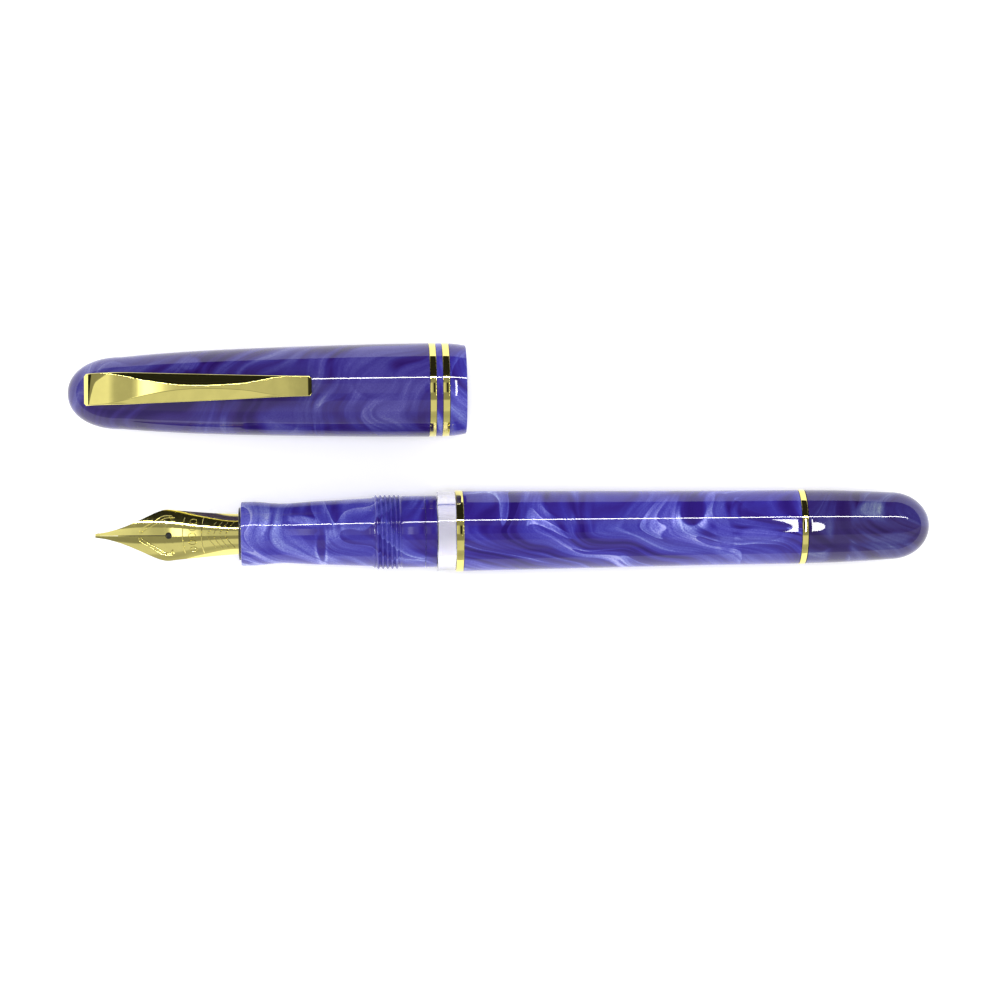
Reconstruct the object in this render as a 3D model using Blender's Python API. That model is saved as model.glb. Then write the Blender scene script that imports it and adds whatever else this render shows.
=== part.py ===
"""Piston-filling fountain pen with its screw cap lying beside it, as an assembly of separate pieces.

Sizes are in millimetres and become metres when a mesh is made. The pen lies along +X with its nib towards -X,
and the cap lies parallel to it on the +Y side. The row's origin is under the middle of the whole object, on
the surface that it lies on.

Positions along the pen are measured from the nib's tip (PEN axis), and along the cap from its closed end
(CAP axis).
"""

import math

import bmesh
import bpy
from mathutils import Matrix, Vector

MM = 0.001
FIT = 0.05          # radial gap between nested round pieces
FACE_GAP = 0.05     # gap between end faces that meet
SEGMENTS = 32       # sides of a visible round piece
INNER_SEGMENTS = 24  # sides of a hidden round piece

# ---- the pen's driving dimensions -------------------------------------------------------------------
PEN_LENGTH = 133.7
NIB_TIP = 0.0
HOUSING_RIM = 22.75     # front of the nib housing's flange
SECTION_FRONT = 23.1
THREAD_START = 44.2
THREAD_END = 48.6
SECTION_END = 52.4
REAR_COLLAR_END = 54.3
WINDOW_END = 57.3
FRONT_RING_END = 58.5
BARREL_END = 112.4
TAIL_RING_END = 113.5

LIP_R = 5.12
WAIST_R = 4.78
SECTION_REAR_R = 5.75
THREAD_CREST_R = 5.97
THREAD_ROOT_R = 5.62
THREAD_PITCH = 0.74
WINDOW_R = 6.35
FRONT_RING_R = 6.53
BARREL_R = 6.45
TAIL_RING_R = 6.0
KNOB_R = 5.93
KNOB_DOME_START = 127.5
KNOB_DOME_R = 5.4

RESERVOIR_R = 4.2
WINDOW_TENON_R = 5.2    # the clear tube's reduced ends, inside the collar and the barrel
GUIDE_R = 4.7
ROD_R = 2.6
SPINDLE_R = 1.55
PISTON_TRAVEL = 25.5
KNOB_ADVANCE = 2.7      # how far the knob moves out while the piston goes from end to end
KNOB_TURNS = 3
PISTON_FRONT = 77.5     # at rest the piston is drawn back
GUIDE_FRONT = 84.0

NIB_THICKNESS = 0.35
NIB_REAR = 33.0
NIB_ROLL = math.radians(2.5)
BREATHER_AT = 11.7
BREATHER_R = 0.52
SLIT_WIDTH = 0.14
FEED_FRONT = 3.6
FEED_REAR = 41.0
HOUSING_BORE_R = 3.42
HOUSING_R = 3.6
HOUSING_FLANGE_R = 4.2
HOUSING_REAR = 36.2

# ---- the cap's driving dimensions -------------------------------------------------------------------
CAP_LENGTH = 63.3
CAP_R = 7.5
CAP_DOME_LENGTH = 8.5
CAP_DOME_R = 5.75
CAP_DOME_POWER = 2.15
BAND_FACES = ((57.4, 58.4), (59.45, 60.5))   # the two gold bands
CAP_TENON_R = 6.75      # the tube under the bands, the spacer and the lip ring
CAP_MOUTH_R = 7.1
CAP_BORE_R = 6.1
CAP_THREAD = (53.2, 56.2)
CAP_THREAD_HEIGHT = 0.3
CAP_WALL = 1.1
CAP_INNER_R = 5.75
INNER_CAP_END = 31.9
INNER_CAP_WALL = 0.75
CAP_ROLL = math.radians(-3.5)   # the clip leans a little away from the pen

CLIP_PIVOT = (4.2, 5.1)       # along the cap, above its axis
CLIP_POST_HALF = (0.5, 1.4)   # half thickness and half width of the leg that enters the cap
CLIP_POST_FOOT = 1.1
CLIP_LEG_TOP = 6.5
CLIP_SLOT_CLEARANCE = 0.4
ANCHOR = (2.9, 6.7)           # from and to, along the cap
ANCHOR_R = 2.5
INNER_CAP_START = ANCHOR[1] + 1.1
CAVITY_STATIONS = (INNER_CAP_START, 11.0, 16.0, 24.0, INNER_CAP_END)

# ---- where the two axes lie -------------------------------------------------------------------------
CAP_AHEAD = 4.08        # the cap's closed end lies this far beyond the nib's tip
AXIS_SPACING = 22.6
TOTAL_LENGTH = PEN_LENGTH + CAP_AHEAD
TOTAL_WIDTH = AXIS_SPACING + FRONT_RING_R + CAP_R
CAP_ORIGIN = Vector((-TOTAL_LENGTH / 2, TOTAL_WIDTH / 2 - CAP_R, CAP_R)) * MM
PEN_ORIGIN = Vector((-TOTAL_LENGTH / 2 + CAP_AHEAD, -TOTAL_WIDTH / 2 + FRONT_RING_R, FRONT_RING_R)) * MM


# ---- materials --------------------------------------------------------------------------------------
def material(name, colour, roughness, metallic=0.0, alpha=1.0):
    made = bpy.data.materials.new(name)
    made.use_nodes = True
    shader = made.node_tree.nodes["Principled BSDF"]
    shader.inputs["Base Color"].default_value = (*colour, 1.0)
    shader.inputs["Roughness"].default_value = roughness
    shader.inputs["Metallic"].default_value = metallic
    shader.inputs["Alpha"].default_value = alpha
    made.diffuse_color = (*colour, alpha)
    return made


def make_materials():
    return {
        "swirl_resin": material("swirl_resin", (0.09, 0.07, 0.42), 0.12),
        "gold_trim": material("gold_trim", (0.83, 0.72, 0.30), 0.12, 1.0),
        "nib_gold": material("nib_gold", (0.80, 0.70, 0.30), 0.2, 1.0),
        "tipping": material("tipping", (0.75, 0.74, 0.70), 0.25, 1.0),
        "black_ebonite": material("black_ebonite", (0.02, 0.02, 0.022), 0.35),
        "clear_acrylic": material("clear_acrylic", (0.9, 0.91, 0.95), 0.05, alpha=0.35),
        "dark_liner": material("dark_liner", (0.03, 0.03, 0.06), 0.45),
        "piston_plastic": material("piston_plastic", (0.82, 0.82, 0.80), 0.4),
        "brass": material("brass", (0.72, 0.55, 0.25), 0.3, 1.0),
        "seal_rubber": material("seal_rubber", (0.03, 0.03, 0.03), 0.7),
    }


# ---- outlines ---------------------------------------------------------------------------------------
def curve_at(points, x):
    """Smooth interpolation (cubic Hermite) through (x, value) points in rising x."""
    points = list(points)
    last = len(points) - 1
    slopes = []
    for i in range(last + 1):
        (x0, y0), (x1, y1) = points[max(i - 1, 0)], points[min(i + 1, last)]
        slopes.append((y1 - y0) / (x1 - x0))
    x = min(max(x, points[0][0]), points[-1][0])
    i = next(k for k in range(last) if x <= points[k + 1][0])
    (x0, y0), (x1, y1) = points[i], points[i + 1]
    span = x1 - x0
    t = (x - x0) / span
    return (
        (2 * t**3 - 3 * t**2 + 1) * y0
        + (t**3 - 2 * t**2 + t) * span * slopes[i]
        + (3 * t**2 - 2 * t**3) * y1
        + (t**3 - t**2) * span * slopes[i + 1]
    )


def spread(start, end, count):
    """count + 1 evenly spaced values from start to end."""
    return [start + (end - start) * i / count for i in range(count + 1)]


def along(points, start, end, count):
    """(x, radius) pairs read from a smooth curve."""
    return [(x, curve_at(points, x)) for x in spread(start, end, count)]


SECTION_CURVE = (
    (SECTION_FRONT, LIP_R), (25.6, 5.1), (29.2, WAIST_R), (31.5, 4.85), (34.5, 5.05), (38.5, 5.22),
    (THREAD_START, 5.5),
)
BARREL_CURVE = ((FRONT_RING_END, BARREL_R), (80.5, 6.2), (96.0, 6.03), (BARREL_END, 5.95))
KNOB_CURVE = ((TAIL_RING_END, KNOB_R), (119.0, 5.82), (123.7, 5.62), (KNOB_DOME_START, KNOB_DOME_R))
CAP_CURVE = (
    (CAP_DOME_LENGTH, CAP_DOME_R), (14.0, 6.2), (22.0, 6.67), (34.0, 7.08), (46.0, 7.36),
    (BAND_FACES[0][0], CAP_R),
)
NIB_HALF_WIDTH = (
    (NIB_TIP, 0.3), (2.1, 0.64), (4.6, 1.4), (7.2, 2.5), (9.8, 3.68), (11.3, 4.08), (13.0, 3.94),
    (16.2, 3.64),
    (20.0, 3.35), (26.0, 3.15), (NIB_REAR, 3.1),
)
NIB_BEND_RADIUS = (
    (NIB_TIP, 3.0), (6.0, 7.0), (11.3, 6.8), (16.0, 5.0), (20.5, 3.6), (22.4, 3.36), (NIB_REAR, 3.36),
)
NIB_RIDGE_HEIGHT = (
    (NIB_TIP, 0.75), (6.0, 2.05), (11.3, 2.95), (16.0, 3.28), (21.5, 3.36), (NIB_REAR, 3.36),
)


def cap_outer_r(v):
    """The cap's outer radius at v from its closed end: a superellipse dome, then a long swell."""
    if v >= CAP_DOME_LENGTH:
        return curve_at(CAP_CURVE, v)
    inside = 1 - (1 - v / CAP_DOME_LENGTH) ** CAP_DOME_POWER
    return CAP_DOME_R * inside ** (1 / CAP_DOME_POWER)


def cap_inner_r(v):
    """The radius of the cap tube's cavity ahead of its thread."""
    return min(CAP_INNER_R, cap_outer_r(v) - CAP_WALL)


# ---- making objects ---------------------------------------------------------------------------------
def clear_scene():
    for obj in list(bpy.data.objects):
        bpy.data.objects.remove(obj, do_unlink=True)


def add_empty(name, location, roll=0.0):
    empty = bpy.data.objects.new(name, None)
    empty.location = location
    empty.rotation_euler = (roll, 0, 0)
    bpy.context.scene.collection.objects.link(empty)
    return empty


def add_object(name, bm, mat, parent, sharp_angle=math.radians(35)):
    bmesh.ops.recalc_face_normals(bm, faces=bm.faces)
    mesh = bpy.data.meshes.new(name)
    bm.to_mesh(mesh)
    bm.free()
    mesh.shade_smooth()
    mesh.set_sharp_from_angle(angle=sharp_angle)
    mesh.materials.append(mat)
    obj = bpy.data.objects.new(name, mesh)
    obj.parent = parent
    bpy.context.scene.collection.objects.link(obj)
    return obj


def spun(outline, segments):
    """A closed outline of (x, radius) points, turned about the X axis. Its ends may stand on the axis."""
    bm = bmesh.new()
    verts = [bm.verts.new((x * MM, 0, r * MM)) for x, r in outline]
    on_axis = outline[0][1] == 0 and outline[-1][1] == 0
    pairs = zip(verts, verts[1:] if on_axis else verts[1:] + verts[:1])
    edges = [bm.edges.new(pair) for pair in pairs]
    bmesh.ops.spin(
        bm, geom=verts + edges, cent=(0, 0, 0), axis=(1, 0, 0), angle=2 * math.pi, steps=segments,
        use_merge=True,
    )
    bmesh.ops.remove_doubles(bm, verts=bm.verts, dist=1e-7)
    return bm


def turned(name, outline, mat, parent, segments=SEGMENTS):
    return add_object(name, spun(outline, segments), mat, parent)


def tube(name, start, end, inner_r, outer_r, mat, parent, segments=SEGMENTS, chamfer=0.0):
    """A plain ring or sleeve, with its outer edges chamfered."""
    outline = [(start, inner_r), (start, outer_r - chamfer)]
    if chamfer:
        outline += [(start + chamfer, outer_r), (end - chamfer, outer_r)]
    outline += [(end, outer_r - chamfer), (end, inner_r)]
    return turned(name, outline, mat, parent, segments)


def o_ring(name, centre, middle_r, thickness_r, mat, parent):
    """A round-section seal."""
    sides = 6
    outline = []
    for i in range(sides):
        angle = 2 * math.pi * i / sides
        outline.append((centre + thickness_r * math.sin(angle), middle_r + thickness_r * math.cos(angle)))
    return turned(name, outline, mat, parent, INNER_SEGMENTS)


def lift_thread(bm, start, end, height, pitch):
    """Raises a helical ridge on the turned vertices from start to end, with half a pitch of run-out."""
    for vert in bm.verts:
        x = vert.co.x / MM
        if not start < x < end:
            continue
        turn = math.atan2(vert.co.y, vert.co.z) / (2 * math.pi)
        phase = (x / pitch + turn) % 1.0
        fade = min(1.0, (x - start) / (pitch / 2), (end - x) / (pitch / 2))
        ridge = height * (1 - abs(2 * phase - 1)) * fade * MM
        radius = math.hypot(vert.co.y, vert.co.z)
        vert.co.y *= (radius + ridge) / radius
        vert.co.z *= (radius + ridge) / radius


def lofted(rings):
    """A closed skin over a row of rings with equal counts of points, with flat caps on both ends."""
    bm = bmesh.new()
    rows = [[bm.verts.new(Vector(p) * MM) for p in ring] for ring in rings]
    count = len(rows[0])
    for near, far in zip(rows, rows[1:]):
        for i in range(count):
            j = (i + 1) % count
            bm.faces.new((near[i], near[j], far[j], far[i]))
    bm.faces.new(rows[0])
    bm.faces.new(rows[-1])
    return bm


def box_mesh(low, high):
    """A box between two corners, in millimetres."""
    bm = bmesh.new()
    size = [(b - a) * MM for a, b in zip(low, high)]
    centre = [(a + b) / 2 * MM for a, b in zip(low, high)]
    bmesh.ops.create_cube(bm, size=1.0, matrix=Matrix.Translation(centre) @ Matrix.Diagonal((*size, 1.0)))
    return bm


def cylinder_mesh(radius, depth, matrix, segments=SEGMENTS):
    bm = bmesh.new()
    bmesh.ops.create_cone(
        bm, cap_ends=True, segments=segments, radius1=radius * MM, radius2=radius * MM, depth=depth * MM,
        matrix=matrix,
    )
    return bm


def use_tool(target, name, bm, operation):
    """Cuts or joins a helper mesh, which stays hidden and isn't a piece of the pen."""
    helper = add_object(name, bm, target.data.materials[0], target.parent)
    helper.hide_render = True
    helper.display_type = "WIRE"
    helper.location = target.location
    helper.rotation_euler = target.rotation_euler
    modifier = target.modifiers.new(name, "BOOLEAN")
    modifier.operation = operation
    modifier.solver = "EXACT"
    modifier.object = helper


# ---- nib unit ---------------------------------------------------------------------------------------
def nib_arc(u, share, depth):
    """A point of the nib's sheet: share runs from -1 to 1 across it, depth is under its top face."""
    half = curve_at(NIB_HALF_WIDTH, u)
    radius = curve_at(NIB_BEND_RADIUS, u)
    angle = share * math.asin(min(half / radius, 0.985))
    reach = radius - depth
    centre = curve_at(NIB_RIDGE_HEIGHT, u) - radius
    return (u, -reach * math.sin(angle), centre + reach * math.cos(angle))


def make_nib(mats, parent):
    across = spread(-1.0, 1.0, 8)
    stations = [0.0, 1.2, 2.6, 4.0, 5.4, 6.8, 8.2, 9.6, 10.7, 11.4, 12.4, 14.0, 16.2, 18.6, 21.5, 26.0]
    stations.append(NIB_REAR)
    rings = []
    for u in stations:
        thickness = NIB_THICKNESS * (0.7 + 0.3 * min(1.0, u / 6.0))
        top = [nib_arc(u, share, 0.0) for share in across]
        under = [nib_arc(u, share, thickness) for share in reversed(across)]
        rings.append(top + under)
    nib = add_object("nib", lofted(rings), mats["nib_gold"], parent)
    nib.rotation_euler = (NIB_ROLL, 0, 0)
    slit = box_mesh((-1.0, -SLIT_WIDTH / 2, -2.0), (BREATHER_AT, SLIT_WIDTH / 2, 5.0))
    use_tool(nib, "slit_cutter", slit, "DIFFERENCE")
    hole = Matrix.Translation(Vector((BREATHER_AT, 0, 2.5)) * MM)
    use_tool(nib, "breather_cutter", cylinder_mesh(BREATHER_R, 4.0, hole, 16), "DIFFERENCE")


def make_tipping(mats, parent):
    """The hard pellet on the nib's tip, just ahead of and under the tines."""
    bm = bmesh.new()
    bmesh.ops.create_uvsphere(bm, u_segments=12, v_segments=8, radius=0.42 * MM)
    tipping = add_object("nib_tipping", bm, mats["tipping"], parent)
    tipping.location = Vector((0.42, 0, 0.02)) * MM


def feed_ring(u, half, top_radius, bottom):
    """One section of the feed: an arc under the nib, and a rounded belly."""
    points = 6
    centre = curve_at(NIB_RIDGE_HEIGHT, u) - curve_at(NIB_BEND_RADIUS, u)
    edge = math.asin(min(half / top_radius, 1.0))
    ring = []
    for angle in spread(-edge, edge, points):
        ring.append((u, -top_radius * math.sin(angle), centre + top_radius * math.cos(angle)))
    side = ring[-1][2]
    for angle in spread(0, math.pi, points)[1:-1]:
        ring.append((u, -half * math.cos(angle), side + (bottom - side) * math.sin(angle)))
    return ring


def make_feed(mats, parent):
    """The feed: a slender nose under the nib, a comb of fins, and a round stem inside the housing."""
    def half_at(u):
        return curve_at(((FEED_FRONT, 0.35), (8.0, 1.25), (12.0, 2.15), (14.0, 2.55), (FEED_REAR, 2.55)), u)

    def belly_at(u):
        return curve_at(((FEED_FRONT, 0.55), (8.0, -1.0), (11.5, -2.3), (13.0, -2.75), (FEED_REAR, -2.8)), u)

    def top_at(u):
        return curve_at(NIB_BEND_RADIUS, u) - NIB_THICKNESS - 2 * FIT

    fins, fin_pitch, fin_depth, fins_start = 9, 0.9, 1.0, 13.6
    rings = [feed_ring(u, half_at(u), top_at(u), belly_at(u)) for u in (FEED_FRONT, 5.5, 8.0, 10.5, 12.2)]
    for i in range(fins):
        front = fins_start + i * fin_pitch
        for u, cut in ((front, fin_depth), (front + 0.02, 0), (front + 0.45, 0), (front + 0.47, fin_depth)):
            rings.append(feed_ring(u, half_at(u) - 0.35 * cut, top_at(u), belly_at(u) + cut))
    for u in (HOUSING_RIM, NIB_REAR - 1.0):
        rings.append(feed_ring(u, 2.55, top_at(u), -2.8))
    feed = add_object("feed", lofted(rings), mats["black_ebonite"], parent, math.radians(25))
    feed.rotation_euler = (NIB_ROLL, 0, 0)


def make_nib_unit(mats, parent):
    make_nib(mats, parent)
    make_tipping(mats, parent)
    make_feed(mats, parent)
    tube(
        "feed_ink_tube", NIB_REAR - 1.0 + FACE_GAP, FEED_REAR, 0.7, 2.3, mats["black_ebonite"], parent,
        INNER_SEGMENTS,
    )
    turned(
        "nib_housing",
        [
            (HOUSING_RIM, HOUSING_BORE_R), (HOUSING_RIM, HOUSING_FLANGE_R - 0.15),
            (HOUSING_RIM + 0.15, HOUSING_FLANGE_R), (SECTION_FRONT - FACE_GAP, HOUSING_FLANGE_R),
            (SECTION_FRONT - FACE_GAP, HOUSING_R), (HOUSING_REAR, HOUSING_R), (HOUSING_REAR, 2.6),
            (NIB_REAR + 0.6, 2.6), (NIB_REAR + 0.6, HOUSING_BORE_R),
        ],
        mats["black_ebonite"], parent,
    )
    o_ring("nib_unit_seal", HOUSING_REAR + 0.5, 2.95, 0.35, mats["seal_rubber"], parent)


# ---- section, window and barrel ---------------------------------------------------------------------
def make_section(mats, parent):
    """The grip section: a flared lip, a waist, the cap's thread, and a plain skirt up to the collar."""
    rows_per_pitch = 4
    thread_rows = round((THREAD_END - THREAD_START) / THREAD_PITCH * rows_per_pitch)
    outline = [(SECTION_FRONT, HOUSING_R + FIT), (SECTION_FRONT, LIP_R - 0.3)]
    outline += [(SECTION_FRONT + 0.3, LIP_R), *along(SECTION_CURVE, 25.0, THREAD_START - 0.3, 8)]
    outline += [(x, THREAD_ROOT_R) for x in spread(THREAD_START, THREAD_END, thread_rows)]
    outline += [
        (THREAD_END + 0.4, SECTION_REAR_R), (SECTION_END, SECTION_REAR_R), (SECTION_END, WINDOW_TENON_R - 0.15),
        (50.2, WINDOW_TENON_R - 0.15), (50.2, RESERVOIR_R), (42.5, RESERVOIR_R), (41.5, 2.7),
        (HOUSING_REAR + 1.2, 2.7), (HOUSING_REAR + 1.2, HOUSING_R + FIT),
    ]
    bm = spun(outline, SEGMENTS)
    lift_thread(bm, THREAD_START, THREAD_END, THREAD_CREST_R - THREAD_ROOT_R, THREAD_PITCH)
    add_object("section", bm, mats["swirl_resin"], parent)


def make_window(mats, parent):
    """The clear ink window: a band between two reduced ends, bored through for the ink."""
    front_tenon_r = WINDOW_TENON_R - 0.2
    turned(
        "ink_window",
        [
            (50.3, RESERVOIR_R), (50.3, front_tenon_r), (REAR_COLLAR_END + FACE_GAP, front_tenon_r),
            (REAR_COLLAR_END + FACE_GAP, WINDOW_R - 0.1), (REAR_COLLAR_END + 0.15, WINDOW_R),
            (WINDOW_END - FACE_GAP, WINDOW_R), (WINDOW_END - FACE_GAP, WINDOW_TENON_R),
            (64.0, WINDOW_TENON_R), (64.0, RESERVOIR_R),
        ],
        mats["clear_acrylic"], parent,
    )
    tube(
        "section_collar", SECTION_END + FACE_GAP, REAR_COLLAR_END - FACE_GAP / 2, front_tenon_r + FIT,
        SECTION_REAR_R,
        mats["swirl_resin"], parent, chamfer=0.06,
    )
    tube(
        "barrel_front_ring", WINDOW_END, FRONT_RING_END - FACE_GAP, WINDOW_TENON_R + FIT, FRONT_RING_R,
        mats["gold_trim"], parent, chamfer=0.08,
    )


def make_barrel(mats, parent):
    outline = [(FRONT_RING_END, WINDOW_TENON_R + FIT), *along(BARREL_CURVE, FRONT_RING_END, BARREL_END, 8)]
    outline += [
        (BARREL_END, GUIDE_R + FIT), (GUIDE_FRONT - 0.1, GUIDE_R + FIT), (GUIDE_FRONT - 0.1, RESERVOIR_R),
        (64.2, RESERVOIR_R), (64.2, WINDOW_TENON_R + FIT),
    ]
    turned("barrel", outline, mats["swirl_resin"], parent)
    tube(
        "barrel_tail_ring", BARREL_END + FACE_GAP, TAIL_RING_END - 0.12, GUIDE_R + FIT, TAIL_RING_R,
        mats["gold_trim"], parent, chamfer=0.08,
    )


# ---- piston filler ----------------------------------------------------------------------------------
KNOB_SLEEVE_FRONT = 106.5
KNOB_SLEEVE_R = 3.8
KNOB_FLANGE_R = 4.15
KNOB_BORE_R = 2.85
SPINDLE_REAR = 126.8
SPINDLE_LEAD = (PISTON_TRAVEL + KNOB_ADVANCE) / KNOB_TURNS


def make_piston_guide(mats, parent):
    """The filler's body: guides the piston rod and the knob's sleeve, and holds the thrust collar."""
    turned(
        "piston_guide",
        [
            (GUIDE_FRONT, ROD_R + FIT), (GUIDE_FRONT, GUIDE_R), (GUIDE_FRONT + 1.0, GUIDE_R),
            (GUIDE_FRONT + 1.0, GUIDE_R - 0.75), (GUIDE_FRONT + 2.1, GUIDE_R - 0.75),
            (GUIDE_FRONT + 2.1, GUIDE_R),
            (BARREL_END + 0.6, GUIDE_R), (BARREL_END + 0.6, KNOB_FLANGE_R + 0.1),
            (KNOB_SLEEVE_FRONT - 0.3, KNOB_FLANGE_R + 0.1), (KNOB_SLEEVE_FRONT - 0.3, ROD_R + FIT),
        ],
        mats["piston_plastic"], parent, INNER_SEGMENTS,
    )
    o_ring("guide_seal", GUIDE_FRONT + 1.55, GUIDE_R - 0.36, 0.33, mats["seal_rubber"], parent)
    tube(
        "knob_thrust_collar", 109.0, 111.8, KNOB_SLEEVE_R + 0.06, KNOB_FLANGE_R + 0.04,
        mats["brass"], parent, INNER_SEGMENTS,
    )


def make_knob(mats, parent):
    """The turning knob at the tail: a domed shell with a sleeve that reaches into the guide."""
    dome = []
    for angle in spread(0, math.pi / 2, 7)[1:]:
        x = KNOB_DOME_START + (PEN_LENGTH - KNOB_DOME_START) * math.sin(angle)
        dome.append((x, KNOB_DOME_R * math.cos(angle)))
    dome[-1] = (PEN_LENGTH, 0.0)
    outline = [
        (SPINDLE_REAR + FACE_GAP, 0.0), (SPINDLE_REAR + FACE_GAP, SPINDLE_R + FIT), (121.4, SPINDLE_R + FIT),
        (121.4, KNOB_BORE_R), (KNOB_SLEEVE_FRONT, KNOB_BORE_R), (KNOB_SLEEVE_FRONT, KNOB_FLANGE_R),
        (108.6, KNOB_FLANGE_R), (108.6, KNOB_SLEEVE_R), (TAIL_RING_END, KNOB_SLEEVE_R),
        *along(KNOB_CURVE, TAIL_RING_END, KNOB_DOME_START, 4), *dome,
    ]
    turned("filler_knob", outline, mats["swirl_resin"], parent)


def make_spindle(mats, parent):
    """The drive spindle: a steep coarse screw that turns with the knob, inside the piston rod."""
    front, plain_from = 88.0, 120.6
    lobes, lobe_height, sides = 2, 0.32, 10
    stations = spread(front, plain_from, 40) + [plain_from + 0.1, SPINDLE_REAR]
    rings = []
    for u in stations:
        ring = []
        for i in range(sides):
            angle = 2 * math.pi * i / sides
            wave = 0.5 + 0.5 * math.cos(lobes * (angle + 2 * math.pi * u / SPINDLE_LEAD))
            radius = SPINDLE_R if u > plain_from else SPINDLE_R - lobe_height * wave
            ring.append((u, radius * math.sin(angle), radius * math.cos(angle)))
        rings.append(ring)
    add_object("drive_spindle", lofted(rings), mats["brass"], parent)


def make_piston(mats, parent):
    """The piston: a plug with two seal rings, on a hollow rod that the spindle drives."""
    head_end = PISTON_FRONT + 6.0
    groove_r = 3.4
    outline = [(PISTON_FRONT, 0.0), (PISTON_FRONT, 3.4), (PISTON_FRONT + 0.6, 4.0)]
    for groove in (PISTON_FRONT + 1.1, PISTON_FRONT + 3.9):
        outline += [(groove, 4.0), (groove, groove_r), (groove + 1.0, groove_r), (groove + 1.0, 4.0)]
    outline += [(head_end, 4.0), (head_end, 0.0)]
    turned("piston_head", outline, mats["piston_plastic"], parent, INNER_SEGMENTS)
    seals = (("piston_front_seal", PISTON_FRONT + 1.6), ("piston_rear_seal", PISTON_FRONT + 4.4))
    for name, centre in seals:
        o_ring(name, centre, 3.78, 0.34, mats["seal_rubber"], parent)
    turned(
        "piston_rod",
        [
            (head_end + FACE_GAP, 0.0), (head_end + FACE_GAP, ROD_R), (120.0, ROD_R), (120.0, SPINDLE_R + 0.1),
            (86.5, SPINDLE_R + 0.1), (86.5, 0.0),
        ],
        mats["piston_plastic"], parent, INNER_SEGMENTS,
    )


# ---- cap --------------------------------------------------------------------------------------------
def make_cap_tube(mats, parent):
    """The cap's shell: domed end, swelling side, a step for the bands, and a threaded mouth."""
    step = BAND_FACES[0][0] - FACE_GAP
    cavity_start = INNER_CAP_START - 0.2
    dome = [(v, cap_outer_r(v)) for v in (0.18, 0.7, 1.6, 2.9, 4.6, 6.5)]
    outline = [(0.0, 0.0), *dome, *along(CAP_CURVE, CAP_DOME_LENGTH, BAND_FACES[0][0], 6)[:-1]]
    outline += [(step, CAP_R), (step, CAP_TENON_R)]
    outline += [(CAP_LENGTH - 0.5, CAP_TENON_R), (CAP_LENGTH - 0.5, CAP_BORE_R)]
    thread_rows = round((CAP_THREAD[1] - CAP_THREAD[0]) / THREAD_PITCH * 4)
    outline += [(v, CAP_BORE_R) for v in reversed(spread(CAP_THREAD[0], CAP_THREAD[1], thread_rows))]
    outline += [(CAP_THREAD[0] - 0.3, CAP_INNER_R)]
    outline += [(v, cap_inner_r(v)) for v in reversed((cavity_start, *CAVITY_STATIONS))]
    outline += [(cavity_start, ANCHOR_R + FIT), (ANCHOR[0], ANCHOR_R + FIT), (ANCHOR[0], 0.0)]
    bm = spun(outline, SEGMENTS)
    lift_inner_thread(bm)
    tube_obj = add_object("cap_tube", bm, mats["swirl_resin"], parent)
    half_x, half_y = (half + CLIP_SLOT_CLEARANCE for half in CLIP_POST_HALF)
    slot = box_mesh((CLIP_PIVOT[0] - half_x, -half_y, ANCHOR_R - 0.8), (CLIP_PIVOT[0] + half_x, half_y, 8.0))
    use_tool(tube_obj, "clip_slot_cutter", slot, "DIFFERENCE")


def lift_inner_thread(bm):
    """The cap's own thread: a helical ridge that stands into the mouth's bore."""
    inner = [v for v in bm.verts if abs(math.hypot(v.co.y, v.co.z) / MM - CAP_BORE_R) < 0.01]
    start, end = CAP_THREAD
    for vert in inner:
        x = vert.co.x / MM
        if not start < x < end:
            continue
        turn = math.atan2(vert.co.y, vert.co.z) / (2 * math.pi)
        phase = (x / THREAD_PITCH + turn) % 1.0
        fade = min(1.0, (x - start) / (THREAD_PITCH / 2), (end - x) / (THREAD_PITCH / 2))
        scale = 1 - CAP_THREAD_HEIGHT * (1 - abs(2 * phase - 1)) * fade / CAP_BORE_R
        vert.co.y *= scale
        vert.co.z *= scale


def make_cap_rings(mats, parent):
    """The pieces stacked on the tube's tenon: band, spacer, band and the lip ring."""
    (first_start, first_end), (second_start, second_end) = BAND_FACES
    bore = CAP_TENON_R + FIT
    tube("cap_band_upper", first_start, first_end, bore, CAP_R, mats["gold_trim"], parent, chamfer=0.06)
    tube(
        "cap_spacer_ring", first_end + FACE_GAP, second_start - FACE_GAP, bore, CAP_R - 0.04,
        mats["swirl_resin"], parent,
    )
    tube(
        "cap_band_lower", second_start, second_end, bore, CAP_R - 0.02, mats["gold_trim"], parent,
        chamfer=0.06,
    )
    turned(
        "cap_lip_ring",
        [
            (second_end + FACE_GAP, bore), (second_end + FACE_GAP, CAP_R - 0.12), (CAP_LENGTH - 1.4, 7.25),
            (CAP_LENGTH - 0.15, CAP_MOUTH_R), (CAP_LENGTH, CAP_MOUTH_R - 0.15), (CAP_LENGTH, CAP_BORE_R),
            (CAP_LENGTH - 0.45, CAP_BORE_R), (CAP_LENGTH - 0.45, bore),
        ],
        mats["swirl_resin"], parent,
    )


def make_inner_cap(mats, parent):
    """The sealing liner that closes on the section's lip around the nib."""
    floor = INNER_CAP_START + 1.0
    outer = [(v, cap_inner_r(v) - FIT) for v in CAVITY_STATIONS]
    inner = [(v, cap_inner_r(v) - FIT - INNER_CAP_WALL) for v in (floor, *CAVITY_STATIONS[1:])]
    turned(
        "inner_cap", [(INNER_CAP_START, 0.0), *outer, *reversed(inner), (floor, 0.0)], mats["dark_liner"],
        parent, INNER_SEGMENTS,
    )


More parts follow.
